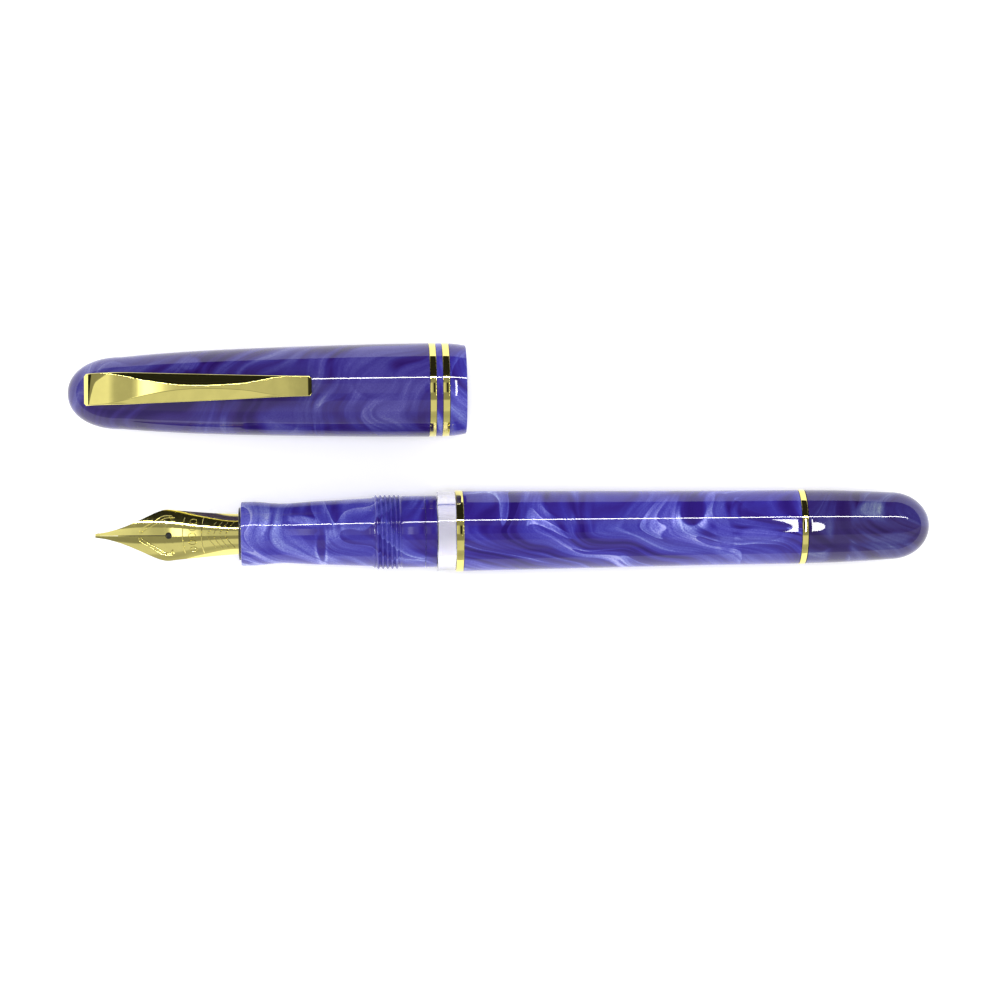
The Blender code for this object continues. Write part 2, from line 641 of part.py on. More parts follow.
def make_clip_fixings(mats, parent):
    """What holds the clip's leg inside the cap: a slotted brass block and its locking screw."""
    half_x, half_y = (half + CLIP_SLOT_CLEARANCE for half in CLIP_POST_HALF)
    block = turned(
        "clip_anchor_block",
        [
            (ANCHOR[0] + FACE_GAP, 0.0), (ANCHOR[0] + FACE_GAP, ANCHOR_R), (ANCHOR[1], ANCHOR_R),
            (ANCHOR[1], 0.0),
        ],
        mats["brass"], parent, INNER_SEGMENTS,
    )
    slot = box_mesh(
        (CLIP_PIVOT[0] - half_x, -half_y, CLIP_POST_FOOT - 0.4), (CLIP_PIVOT[0] + half_x, half_y, 4.0),
    )
    use_tool(block, "anchor_slot_cutter", slot, "DIFFERENCE")
    screw = turned(
        "clip_lock_screw",
        [
            (ANCHOR[1] + FACE_GAP, 0.0), (ANCHOR[1] + FACE_GAP, 2.2), (ANCHOR[1] + 0.8, 2.2),
            (ANCHOR[1] + 0.8, 0.0),
        ],
        mats["brass"], parent, INNER_SEGMENTS,
    )
    driver = box_mesh((ANCHOR[1] + 0.45, -0.25, -3.0), (ANCHOR[1] + 2.0, 0.25, 3.0))
    use_tool(screw, "screwdriver_slot_cutter", driver, "DIFFERENCE")


# v, height of the underside, height of the top, half width, half width of the face between the flanks
CLIP_STATIONS = (
    (2.95, 4.95, 5.85, 2.50, 2.30),
    (3.5, 5.35, 6.55, 2.54, 2.42),
    (4.6, 5.95, 7.35, 2.54, 2.46),
    (6.7, 6.75, 8.1, 2.54, 2.36),
    (9.0, 7.25, 8.5, 2.53, 2.0),
    (13.0, 7.67, 8.93, 2.40, 1.1),
    (18.2, 7.88, 9.13, 2.23, 0.38),
    (23.3, 7.9, 9.13, 2.06, 0.28),
    (28.4, 7.8, 9.0, 1.88, 0.6),
    (32.4, 7.7, 8.82, 1.73, 1.3),
    (35.0, 7.45, 8.65, 1.67, 1.6),
    (36.6, 7.34, 8.55, 1.64, 1.58),
    (38.2, 7.34, 8.45, 1.62, 1.56),
    (38.7, 7.6, 8.35, 1.6, 1.54),
)


def make_clip(mats, parent):
    """The spring clip: a tapering bar with hollow flanks, a leg into the cap and a foot at its free end."""
    pivot_v, pivot_z = CLIP_PIVOT
    rings = []
    for v, low, high, half, top_half in CLIP_STATIONS:
        shoulder = high - 0.1 - 0.42 * (half - top_half)
        side = [(half - 0.1, low), (half, shoulder), (top_half, high)]
        right = [(v - pivot_v, y, z - pivot_z) for y, z in side]
        rings.append(right + [(x, -y, z) for x, y, z in reversed(right)])
    clip = add_object("clip", lofted(rings), mats["gold_trim"], parent)
    clip.location = Vector((pivot_v, 0, pivot_z)) * MM
    half_x, half_y = CLIP_POST_HALF
    leg = box_mesh((-half_x, -half_y, CLIP_POST_FOOT - pivot_z), (half_x, half_y, CLIP_LEG_TOP - pivot_z))
    use_tool(clip, "clip_leg", leg, "UNION")


# ---- the whole object -------------------------------------------------------------------------------
def main():
    clear_scene()
    mats = make_materials()
    pen = add_empty("pen_axis", PEN_ORIGIN)
    cap = add_empty("cap_axis", CAP_ORIGIN, CAP_ROLL)
    make_nib_unit(mats, pen)
    make_section(mats, pen)
    make_window(mats, pen)
    make_barrel(mats, pen)
    make_piston_guide(mats, pen)
    make_knob(mats, pen)
    make_spindle(mats, pen)
    make_piston(mats, pen)
    make_cap_tube(mats, cap)
    make_cap_rings(mats, cap)
    make_inner_cap(mats, cap)
    make_clip_fixings(mats, cap)
    make_clip(mats, cap)


main()
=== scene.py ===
"""The looks of the fountain pen: fine turned pieces, nib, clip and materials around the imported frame."""
import math

import bmesh
import bpy
from mathutils import Matrix, Vector


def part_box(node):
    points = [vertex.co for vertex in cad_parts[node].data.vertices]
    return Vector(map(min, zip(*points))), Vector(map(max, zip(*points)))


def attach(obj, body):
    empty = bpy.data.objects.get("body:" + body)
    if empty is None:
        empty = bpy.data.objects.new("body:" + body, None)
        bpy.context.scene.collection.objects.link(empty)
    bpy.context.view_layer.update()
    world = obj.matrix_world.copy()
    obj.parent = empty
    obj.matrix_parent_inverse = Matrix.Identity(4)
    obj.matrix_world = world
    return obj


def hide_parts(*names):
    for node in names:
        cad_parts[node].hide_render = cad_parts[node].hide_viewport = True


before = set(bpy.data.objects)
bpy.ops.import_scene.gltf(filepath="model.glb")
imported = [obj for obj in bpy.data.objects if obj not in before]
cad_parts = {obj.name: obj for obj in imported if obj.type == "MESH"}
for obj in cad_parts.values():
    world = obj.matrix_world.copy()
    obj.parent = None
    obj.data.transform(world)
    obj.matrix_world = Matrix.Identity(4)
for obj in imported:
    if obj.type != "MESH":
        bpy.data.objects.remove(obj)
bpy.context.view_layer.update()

MM = 0.001
SEGMENTS = 144
CORNER_STEPS = 4
TINY = 1e-6


# ---- where the two axes lie, from the frame ---------------------------------------------------------
def axis_of(node, start_node):
    """The point on a round node's axis (along X) where start_node begins."""
    low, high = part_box(node)
    middle = (low + high) / 2
    return Vector((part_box(start_node)[0].x, middle.y, middle.z))


PEN = axis_of("barrel", "nib")
CAP = axis_of("cap_band_upper", "cap_tube")
CAP_ROLL = math.radians(-3.5)
NIB_ROLL = math.radians(2.5)


def place(u, y, z, origin, roll=0.0):
    """Millimetres about a piece's axis to the frame's metres."""
    c, s = math.cos(roll), math.sin(roll)
    return origin + Vector((u, y * c - z * s, y * s + z * c)) * MM


# ---- sizes, in millimetres along and about each axis ------------------------------------------------
SECTION_FRONT = 23.1
THREAD_START, THREAD_END, THREAD_PITCH = 44.2, 48.6, 0.74
THREAD_CREST_R, THREAD_ROOT_R = 5.97, 5.62
SECTION_END = 52.4
SECTION_BORE_R, HOUSING_BORE_R, INK_CHANNEL_R = 4.2, 3.65, 2.7
COLLAR_R, COLLAR_BORE_R = 5.75, 5.05
COLLAR_END = 54.3
WINDOW_START, WINDOW_END, WINDOW_TENON_END = 50.3, 57.3, 64.0
WINDOW_R, RESERVOIR_R = 6.35, 4.2
FRONT_RING_END, FRONT_RING_R = 58.5, 6.53
RING_BORE_R, TAIL_BORE_R = 5.25, 4.75
BARREL_END = 112.4
TAIL_RING_END, TAIL_RING_R = 113.5, 6.0
PEN_LENGTH = 133.7
DOME_START, DOME_R = 127.5, 5.4
GAP = 0.05

SECTION_CURVE = (
    (SECTION_FRONT, 5.12), (25.6, 5.1), (29.2, 4.78), (31.5, 4.85), (34.5, 5.05), (38.5, 5.22),
    (THREAD_START, 5.5),
)
BARREL_CURVE = ((FRONT_RING_END, 6.45), (80.5, 6.2), (96.0, 6.03), (BARREL_END, 5.95))
KNOB_CURVE = ((TAIL_RING_END, 5.93), (119.0, 5.82), (123.7, 5.62), (DOME_START, DOME_R))
CAP_LENGTH = 63.3
CAP_DOME_LENGTH, CAP_DOME_R, CAP_DOME_POWER = 8.5, 5.75, 2.15
UPPER_BAND = (57.4, 58.4)
LOWER_BAND = (59.45, 60.5)
BAND_R, LOWER_BAND_R, SPACER_R, LIP_R = 7.5, 7.48, 7.46, 7.42
BAND_SEAT_R, CAP_MOUTH_R, CAP_BORE_R, CLIP_BLOCK_R = 6.8, 6.1, 5.75, 2.55
CAP_THREAD_START, CAP_THREAD_END, CAP_THREAD_DEPTH = 53.2, 56.2, 0.3
CAP_CURVE = (
    (CAP_DOME_LENGTH, CAP_DOME_R), (14.0, 6.2), (22.0, 6.67), (34.0, 7.08), (46.0, 7.36),
    (UPPER_BAND[0], BAND_R),
)


def curve_at(points, x):
    """Smooth interpolation (cubic Hermite) through (x, value) points in rising x."""
    last = len(points) - 1
    slopes = []
    for i in range(last + 1):
        (x0, y0), (x1, y1) = points[max(i - 1, 0)], points[min(i + 1, last)]
        slopes.append((y1 - y0) / (x1 - x0))
    x = min(max(x, points[0][0]), points[-1][0])
    i = next(k for k in range(last) if x <= points[k + 1][0])
    (x0, y0), (x1, y1) = points[i], points[i + 1]
    span = x1 - x0
    t = (x - x0) / span
    return (
        (2 * t**3 - 3 * t**2 + 1) * y0
        + (t**3 - 2 * t**2 + t) * span * slopes[i]
        + (3 * t**2 - 2 * t**3) * y1
        + (t**3 - t**2) * span * slopes[i + 1]
    )


def spread(start, end, count):
    """count + 1 evenly spaced numbers from start to end."""
    return [start + (end - start) * i / count for i in range(count + 1)]


def along(points, start, end, count):
    """Points of a profile curve from start to end."""
    return [(x, curve_at(points, x)) for x in spread(start, end, count)]


def cap_outer_r(v):
    """The cap's outer radius at v from its tip: a rounded dome, and then the shell's curve."""
    if v >= CAP_DOME_LENGTH:
        return curve_at(CAP_CURVE, v)
    inside = 1 - (1 - v / CAP_DOME_LENGTH) ** CAP_DOME_POWER
    return CAP_DOME_R * inside ** (1 / CAP_DOME_POWER)


# ---- meshes -----------------------------------------------------------------------------------------
def softened(outline, radius=0.06, closed=True):
    """The outline with every sharp corner rounded."""
    points = [Vector(p) for p in outline]
    count = len(points)
    out = []
    for i, here in enumerate(points):
        if not closed and i in (0, count - 1):
            out.append(here)
            continue
        before, after = points[i - 1] - here, points[(i + 1) % count] - here
        if min(before.length, after.length) < TINY or before.angle(after) > math.radians(155):
            out.append(here)
            continue
        reach = min(radius, before.length * 0.45, after.length * 0.45)
        a, b = here + before.normalized() * reach, here + after.normalized() * reach
        for t in spread(0, 1, CORNER_STEPS):
            out.append(a.lerp(here, t).lerp(here.lerp(b, t), t))
    return [(p.x, p.y) for p in out]


def turned(outline, origin, shape=None):
    """A closed outline of (x, radius) turned about X. shape(x, radius, angle) may change the radius."""
    bm = bmesh.new()
    rings = []
    for x, r in outline:
        if r < TINY:
            rings.append([bm.verts.new(place(x, 0, 0, origin))])
            continue
        ring = []
        for i in range(SEGMENTS):
            angle = 2 * math.pi * i / SEGMENTS
            radius = shape(x, r, angle) if shape else r
            ring.append(bm.verts.new(place(x, radius * math.sin(angle), radius * math.cos(angle), origin)))
        rings.append(ring)
    for near, far in zip(rings, rings[1:] + rings[:1]):
        if len(near) == 1 and len(far) == 1:
            continue
        for i in range(SEGMENTS):
            j = (i + 1) % SEGMENTS
            if len(near) == 1:
                bm.faces.new((near[0], far[i], far[j]))
            elif len(far) == 1:
                bm.faces.new((near[i], far[0], near[j]))
            else:
                bm.faces.new((near[i], far[i], far[j], near[j]))
    return bm


def lofted(rings):
    """A solid skinned over equal rings of points, with a flat face at each end."""
    bm = bmesh.new()
    rows = [[bm.verts.new(p) for p in ring] for ring in rings]
    count = len(rows[0])
    for near, far in zip(rows, rows[1:]):
        for i in range(count):
            j = (i + 1) % count
            bm.faces.new((near[i], near[j], far[j], far[i]))
    bm.faces.new(rows[0])
    bm.faces.new(rows[-1])
    return bm


def piece(name, bm, mat, body, replaces=(), sharp=40):
    """A visible piece that rides on a body; edges sharper than the given degrees stay crisp."""
    bmesh.ops.recalc_face_normals(bm, faces=bm.faces)
    mesh = bpy.data.meshes.new(name)
    bm.to_mesh(mesh)
    bm.free()
    mesh.shade_smooth()
    mesh.set_sharp_from_angle(angle=math.radians(sharp))
    mesh.materials.append(mat)
    obj = bpy.data.objects.new(name, mesh)
    bpy.context.scene.collection.objects.link(obj)
    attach(obj, body)
    if replaces:
        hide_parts(*replaces)


# ---- material nodes ---------------------------------------------------------------------------------
class Nodes:
    """A short way to write a node tree: each method adds a node and returns its main output."""

    def __init__(self, owner):
        owner.use_nodes = True
        self.owner = owner
        self.tree = owner.node_tree

    def link(self, source, target):
        if hasattr(source, "is_output"):
            self.tree.links.new(source, target)
        else:
            target.default_value = source

    def add(self, kind, output=0, inputs=(), **settings):
        node = self.tree.nodes.new(kind)
        for key, value in settings.items():
            setattr(node, key, value)
        for key, value in dict(inputs).items():
            self.link(value, node.inputs[key])
        return node.outputs[output]

    def place_on(self, origin):
        """Millimetres about a piece's axis, fixed to the piece."""
        moved = self.vector("ADD", self.add("ShaderNodeTexCoord", "Object"), tuple(-origin))
        return self.add("ShaderNodeVectorMath", inputs={0: moved, "Scale": 1 / MM}, operation="SCALE")

    def math(self, operation, a, b=0.0, c=0.0):
        return self.add("ShaderNodeMath", inputs={0: a, 1: b, 2: c}, operation=operation)

    def vector(self, operation, a, b):
        return self.add("ShaderNodeVectorMath", inputs={0: a, 1: b}, operation=operation)

    def scaled(self, vector, factors):
        return self.vector("MULTIPLY", vector, factors)

    def combine(self, x, y, z):
        return self.add("ShaderNodeCombineXYZ", inputs={0: x, 1: y, 2: z})

    def split(self, vector):
        node = self.tree.nodes.new("ShaderNodeSeparateXYZ")
        self.link(vector, node.inputs[0])
        return node.outputs

    def noise(self, vector, scale, detail=2.0, roughness=0.5, distortion=0.0, output="Fac"):
        inputs = {
            "Vector": vector,
            "Scale": scale,
            "Detail": detail,
            "Roughness": roughness,
            "Distortion": distortion,
        }
        return self.add("ShaderNodeTexNoise", output, inputs)

    def remap(self, value, low, high, to_low=0.0, to_high=1.0, smooth=True):
        inputs = {"Value": value, "From Min": low, "From Max": high, "To Min": to_low, "To Max": to_high}
        kind = "SMOOTHSTEP" if smooth else "LINEAR"
        return self.add("ShaderNodeMapRange", "Result", inputs, interpolation_type=kind)

    def mix(self, factor, a, b, blend="MIX"):
        node = self.tree.nodes.new("ShaderNodeMix")
        node.data_type = "RGBA"
        node.blend_type = blend
        self.link(factor, node.inputs["Factor"])
        for value, key in ((a, 6), (b, 7)):
            self.link(value if hasattr(value, "is_output") else (*value, 1.0), node.inputs[key])
        return node.outputs[2]

    def ramp(self, value, stops):
        node = self.tree.nodes.new("ShaderNodeValToRGB")
        node.color_ramp.interpolation = "LINEAR"
        elements = node.color_ramp.elements
        while len(elements) < len(stops):
            elements.new(0.5)
        for element, (at, colour) in zip(elements, stops):
            element.position = at
            element.color = (*colour, 1.0)
        self.link(value, node.inputs["Fac"])
        return node.outputs["Color"]

    def bump(self, height, strength, distance):
        inputs = {"Height": height, "Strength": strength, "Distance": distance}
        return self.add("ShaderNodeBump", inputs=inputs)

    def set(self, **values):
        """Set or link the shader's sockets by name, and return the material."""
        shader = self.tree.nodes["Principled BSDF"]
        for key, value in values.items():
            self.link(value, shader.inputs[key.replace("_", " ")])
        return self.owner


def material(name):
    return Nodes(bpy.data.materials.new(name))


NIGHT = (0.022, 0.008, 0.150)
VIOLET = (0.036, 0.018, 0.225)
ROYAL = (0.046, 0.036, 0.330)
BRIGHT = (0.085, 0.085, 0.450)
PEARL = (0.190, 0.215, 0.620)
SILVER = (0.400, 0.450, 0.780)


def swirl_resin(name, origin, radius, seed, lean, bend, scale, lift, folds, tint=(1.0, 1.0, 1.0), spots=()):
    """Pearlescent swirl resin: soft navy and royal clouds with folded, one-edged veils of pearl.

    lean and bend shape the flow across the piece, lift lightens it and folds is the strength of the veils.
    spots are single clouds in front: (x, y, half length, half width, pearl inside, pearl on the rim).
    """
    n = material(name)
    point = n.place_on(origin)
    warp = n.noise(n.vector("ADD", point, (seed, 3.1, 7.7)), 0.075, 1.0, 0.4, output="Color")
    warp = n.scaled(n.vector("SUBTRACT", warp, (0.5, 0.5, 0.5)), (16.0, 8.0, 8.0))
    x, y, z = n.split(n.vector("ADD", point, warp))
    across = n.math("DIVIDE", y, -radius)
    slide = n.math("MULTIPLY", across, lean * radius * 0.35)
    low = n.math("SMOOTH_MIN", n.math("MAXIMUM", n.math("ADD", across, 0.15), 0.0), 0.85, 0.3)
    curl = n.math("MULTIPLY", n.math("POWER", low, 1.6), bend * radius)
    flow = n.math("SUBTRACT", n.math("SUBTRACT", x, slide), curl)
    flow = n.math("MULTIPLY_ADD", z, 0.9, flow)

    def layer(pitch, length, offset, detail=1.0, distortion=0.0):
        scaled = n.combine(
            n.math("MULTIPLY_ADD", flow, 1 / (pitch * scale), seed + offset),
            n.math("MULTIPLY", y, 1 / (length * scale)),
            n.math("MULTIPLY", z, 1 / (length * scale)),
        )
        return n.noise(scaled, 1.0, detail, 0.45, distortion)

    clouds = n.remap(layer(4.6, 10.0, 0.0, 1.0, 0.5), 0.30, 0.70, 0.0, 1.0)
    streaks = n.remap(layer(1.9, 9.0, 17.0, 1.5, 0.3), 0.30, 0.70, 0.0, 1.0)
    sheets = n.math("FRACT", n.math("MULTIPLY", layer(7.5, 13.0, 31.0, 0.5, 0.9), 3.4))
    veils = n.math("MULTIPLY", n.math("POWER", sheets, 3.2), n.remap(sheets, 0.955, 1.0, 1.0, 0.0))
    where = n.remap(layer(9.0, 16.0, 53.0, 0.5), 0.42, 0.60, 0.0, folds)
    fibres = n.math("SUBTRACT", layer(0.55, 7.0, 71.0, 2.0, 0.2), 0.5)
    soft_warp = n.vector("ADD", point, n.scaled(warp, (0.45, 0.4, 0.1)))
    pearl = n.math("MULTIPLY_ADD", clouds, 0.42, lift)
    pearl = n.math("MULTIPLY_ADD", streaks, 0.24, pearl)
    pearl = n.math("MULTIPLY_ADD", n.math("MULTIPLY", veils, where), 0.5, pearl)
    for spot_x, spot_y, half_x, half_y, inside, rim in spots:
        away = n.vector("SUBTRACT", soft_warp, (spot_x, spot_y, radius * 0.8))
        away = n.scaled(away, (1 / half_x, 1 / half_y, 0.5 / radius))
        distance = n.add("ShaderNodeVectorMath", "Value", {0: away}, operation="LENGTH")
        filled = n.remap(distance, 1.2, 0.55, 0.0, 0.85)
        change = n.math("MULTIPLY", filled, n.math("SUBTRACT", inside, pearl))
        edge = n.math("MULTIPLY", n.remap(distance, 0.86, 1.02), n.remap(distance, 1.7, 1.04))
        edge = n.math("MULTIPLY", edge, n.remap(n.split(away)[1], 0.5, -0.5, 0.0, rim))
        pearl = n.math("ADD", n.math("ADD", pearl, change), edge)
    pearl = n.math("MULTIPLY_ADD", fibres, n.math("MULTIPLY", pearl, 0.6), pearl)
    grain = n.noise(point, 5.5, 1.5, 0.6)
    glint = n.math("MULTIPLY", n.math("SUBTRACT", grain, 0.5), n.remap(pearl, 0.25, 0.9, 0.14, 0.55))
    pearl = n.math("ADD", pearl, glint)
    colour = n.ramp(
        pearl,
        ((0.08, NIGHT), (0.24, VIOLET), (0.42, ROYAL), (0.62, BRIGHT), (0.84, PEARL), (1.0, SILVER)),
    )
    hue = n.remap(layer(6.0, 9.0, 91.0), 0.35, 0.65, 0.0, 0.5)
    colour = n.mix(hue, colour, (0.80, 0.62, 1.0), "MULTIPLY")
    colour = n.mix(1.0, colour, tint, "MULTIPLY")
    return n.set(
        Base_Color=colour,
        Metallic=n.remap(pearl, 0.6, 1.1, 0.0, 0.3),
        Roughness=n.remap(grain, 0.3, 0.7, 0.36, 0.46),
        Specular_IOR_Level=0.0,
        Coat_Weight=1.0,
        Coat_Roughness=0.012,
        Coat_IOR=1.5,
    )


def plated_gold(name, colour=(0.88, 0.785, 0.245), roughness=0.02):
    """Polished gold plate with faint polishing lines."""
    n = material(name)
    point = n.add("ShaderNodeTexCoord", "Object")
    lines = n.noise(n.scaled(point, (1400.0, 260.0, 260.0)), 1.0, 2.0, 0.6)
    cloud = n.noise(point, 420.0, 2.0, 0.5)
    tint = n.mix(n.remap(cloud, 0.35, 0.7), colour, tuple(c * 0.93 for c in colour))
    return n.set(
        Base_Color=tint,
        Metallic=1.0,
        Roughness=n.remap(lines, 0.3, 0.75, roughness, roughness * 2.2),
        Normal=n.bump(lines, 0.02, 0.00002),
    )


def moulded(name, colour, roughness, fleck=0.12, scale=900.0, metallic=0.0):
    """A plain moulded or turned material with a fine texture."""
    n = material(name)
    point = n.add("ShaderNodeTexCoord", "Object")
    fine = n.noise(point, scale, 3.0, 0.6)
    light = tuple(min(1.0, c * (1 + fleck) + 0.004) for c in colour)
    return n.set(
        Base_Color=n.mix(fine, colour, light),
        Metallic=metallic,
        Roughness=n.remap(fine, 0.2, 0.8, roughness * 0.85, min(1.0, roughness * 1.15)),
        Normal=n.bump(fine, 0.12, 0.00003),
    )


def clear_acrylic(name):
    """Water-clear acrylic, with the faintest turning lines inside."""
    n = material(name)
    point = n.add("ShaderNodeTexCoord", "Object")
    lines = n.noise(n.scaled(point, (1800.0, 90.0, 90.0)), 1.0, 2.0, 0.6)
    return n.set(
        Base_Color=n.mix(lines, (0.90, 0.89, 0.985), (0.95, 0.945, 1.0)),
        Roughness=n.remap(lines, 0.3, 0.8, 0.0, 0.03),
        Transmission_Weight=1.0,
        IOR=1.49,
        Normal=n.bump(lines, 0.03, 0.00002),
    )


# ---- pen --------------------------------------------------------------------------------------------
def thread_shape(start, end, height, pitch):
    """A rounded right-handed ridge between start and end that runs out over half a pitch."""
    def shape(x, r, angle):
        if not start < x < end:
            return r
        phase = (x / pitch + angle / (2 * math.pi)) % 1.0
        fade = min(1.0, (x - start) / (pitch / 2), (end - x) / (pitch / 2))
        ridge = (0.5 - 0.5 * math.cos(2 * math.pi * phase)) ** 0.8
        return r + height * ridge * fade
    return shape


def make_section(mat):
    rows = round((THREAD_END - THREAD_START) / THREAD_PITCH * 14)
    front = [
        (SECTION_FRONT, HOUSING_BORE_R), (SECTION_FRONT, 4.82), (SECTION_FRONT + 0.09, 5.03),
        (SECTION_FRONT + 0.3, 5.12),
        *along(SECTION_CURVE, 24.6, THREAD_START - 0.25, 40),
    ]
    thread = [(x, THREAD_ROOT_R) for x in spread(THREAD_START, THREAD_END, rows)]
    rear = softened(
        [
            (THREAD_END + 0.35, COLLAR_R), (SECTION_END, COLLAR_R), (SECTION_END, COLLAR_BORE_R),
            (50.2, COLLAR_BORE_R), (50.2, SECTION_BORE_R), (42.5, SECTION_BORE_R), (41.5, INK_CHANNEL_R),
            (37.4, INK_CHANNEL_R), (37.4, HOUSING_BORE_R),
        ],
        0.05, closed=False,
    )
    shape = thread_shape(THREAD_START, THREAD_END, THREAD_CREST_R - THREAD_ROOT_R, THREAD_PITCH)
    bm = turned(front + thread + rear, PEN, shape=shape)
    piece("grip_section", bm, mat, "pen", ["section"])


def sleeve(start, end, bore, outer):
    """The outline of a plain ring or sleeve."""
    return [(start, bore), (start, outer), (end, outer), (end, bore)]


def make_barrel_pieces(mats):
    """The window, with a tenon at each end, and the resin and gold around it."""
    front_r, rear_r = 5.0, 5.2
    window = [
        (WINDOW_START, RESERVOIR_R), (WINDOW_START, front_r), (COLLAR_END + GAP, front_r),
        (COLLAR_END + GAP, WINDOW_R), (WINDOW_END - GAP, WINDOW_R), (WINDOW_END - GAP, rear_r),
        (WINDOW_TENON_END, rear_r), (WINDOW_TENON_END, RESERVOIR_R),
    ]
    collar = sleeve(SECTION_END + GAP, COLLAR_END - GAP / 2, COLLAR_BORE_R, COLLAR_R)
    ring = sleeve(WINDOW_END, FRONT_RING_END - GAP, RING_BORE_R, FRONT_RING_R)
    barrel = [
        (FRONT_RING_END, RING_BORE_R), *along(BARREL_CURVE, FRONT_RING_END, BARREL_END, 60),
        (BARREL_END, TAIL_BORE_R), (83.9, TAIL_BORE_R), (83.9, RESERVOIR_R), (64.2, RESERVOIR_R),
        (64.2, RING_BORE_R),
    ]
    tail = sleeve(BARREL_END + GAP, TAIL_RING_END - 0.12, TAIL_BORE_R, TAIL_RING_R)
    for name, outline, corner, mat, slot, node in (
        ("ink_window_tube", window, 0.12, "acrylic", "clear_acrylic", "ink_window"),
        ("rear_collar", collar, 0.06, "section", "swirl_resin", "section_collar"),
        ("front_ring", ring, 0.07, "gold", "gold_trim", "barrel_front_ring"),
        ("barrel_shell", barrel, 0.05, "barrel", "swirl_resin", "barrel"),
        ("tail_ring", tail, 0.07, "gold", "gold_trim", "barrel_tail_ring"),
    ):
        piece(name, turned(softened(outline, corner), PEN), mats[mat], "pen", [node])


def make_knob(mat):
    dome = [
        (DOME_START + (PEN_LENGTH - DOME_START) * math.sin(a), DOME_R * math.cos(a))
        for a in spread(0, math.pi / 2, 40)[1:-1]
    ]
    outer = [*along(KNOB_CURVE, TAIL_RING_END, DOME_START, 24), *dome, (PEN_LENGTH, 0.0)]
    spindle_r, collar_r, flange_r, neck_r = 1.6, 2.85, 4.15, 3.8
    inner = [
        (126.85, 0.0), (126.85, spindle_r), (121.4, spindle_r), (121.4, collar_r), (106.5, collar_r),
        (106.5, flange_r), (108.6, flange_r), (108.6, neck_r), (TAIL_RING_END, neck_r),
    ]
    bm = turned(softened([*inner, *outer], 0.05, closed=False), PEN)
    piece("turning_knob", bm, mat, "knob", ["filler_knob"])


# ---- nib --------------------------------------------------------------------------------------------
NIB_REAR = 33.0
NIB_THICKNESS = 0.35
HOLE_AT, HOLE_R = 11.7, 0.52
FULL_BEND = 0.985       # the largest sine that the nib's bend may reach
NIB_HALF_WIDTH = (
    (0.0, 0.3), (2.1, 0.64), (4.6, 1.4), (7.2, 2.5), (9.8, 3.68), (11.3, 4.08), (13.0, 3.94), (16.2, 3.64),
    (20.0, 3.35), (26.0, 3.15), (NIB_REAR, 3.1),
)
NIB_BEND_RADIUS = (
    (0.0, 3.0), (6.0, 7.0), (11.3, 6.8), (16.0, 5.0), (20.5, 3.6), (22.4, 3.36), (NIB_REAR, 3.36),
)
NIB_RIDGE_HEIGHT = (
    (0.0, 0.75), (6.0, 2.05), (11.3, 2.95), (16.0, 3.28), (21.5, 3.36), (NIB_REAR, 3.36),
)


def nib_point(u, w, depth=0.0):
    """A point of the nib at u along it and w across it, at a depth under its top face."""
    radius = curve_at(NIB_BEND_RADIUS, u)
    angle = math.asin(max(-FULL_BEND, min(w / radius, FULL_BEND)))
    reach = radius - depth
    centre = curve_at(NIB_RIDGE_HEIGHT, u) - radius
    return place(u, -reach * math.sin(angle), centre + reach * math.cos(angle), PEN, NIB_ROLL)


def inner_edge(u):
    """Half the width of the slit or the breather hole at u; zero behind the hole."""
    slit = 0.012 + 0.05 * max(0.0, min(1.0, (u - 2.6) / 3.0)) if u < HOLE_AT else 0.0
    off = abs(u - HOLE_AT)
    return max(slit, math.sqrt(HOLE_R**2 - off**2) if off < HOLE_R else 0.0)


def make_nib(mat):
    """The nib's top and under faces, joined at the outline, along the slit and around the hole."""
    rows = spread(0.0, HOLE_AT - HOLE_R, 46)
    rows += [HOLE_AT - HOLE_R * math.cos(a) for a in spread(0, math.pi, 20)[1:]]
    rows += spread(HOLE_AT + HOLE_R, NIB_REAR, 60)[1:]
    columns = 20
    bm = bmesh.new()
    sheets = {}
    for depth_key in (0, 1):
        centre = {}
        for side in (1, -1):
            grid = []
            for u in rows:
                thickness = NIB_THICKNESS * (0.7 + 0.3 * min(1.0, u / 6.0))
                half, edge = curve_at(NIB_HALF_WIDTH, u), inner_edge(u)
                line = []
                for j in range(columns + 1):
                    share = math.sin(math.pi / 2 * j / columns)
                    w = side * (edge + (half - edge) * share)
                    if j == 0 and edge < TINY:
                        if u not in centre:
                            centre[u] = bm.verts.new(nib_point(u, 0.0, depth_key * thickness))
                        line.append(centre[u])
                        continue
                    line.append(bm.verts.new(nib_point(u, w, depth_key * thickness)))
                grid.append(line)
            sheets[depth_key, side] = grid
    for side in (1, -1):
        top, under = sheets[0, side], sheets[1, side]
        for i in range(len(rows) - 1):
            for grid in (top, under):
                for j in range(columns):
                    bm.faces.new((grid[i][j], grid[i + 1][j], grid[i + 1][j + 1], grid[i][j + 1]))
            bm.faces.new((top[i][-1], top[i + 1][-1], under[i + 1][-1], under[i][-1]))
            if inner_edge(rows[i]) > TINY:
                bm.faces.new((top[i][0], top[i + 1][0], under[i + 1][0], under[i][0]))
        for i in (0, len(rows) - 1):
            for j in range(columns):
                bm.faces.new((top[i][j], top[i][j + 1], under[i][j + 1], under[i][j]))
    piece("nib_blade", bm, mat, "pen", ["nib"], sharp=30)


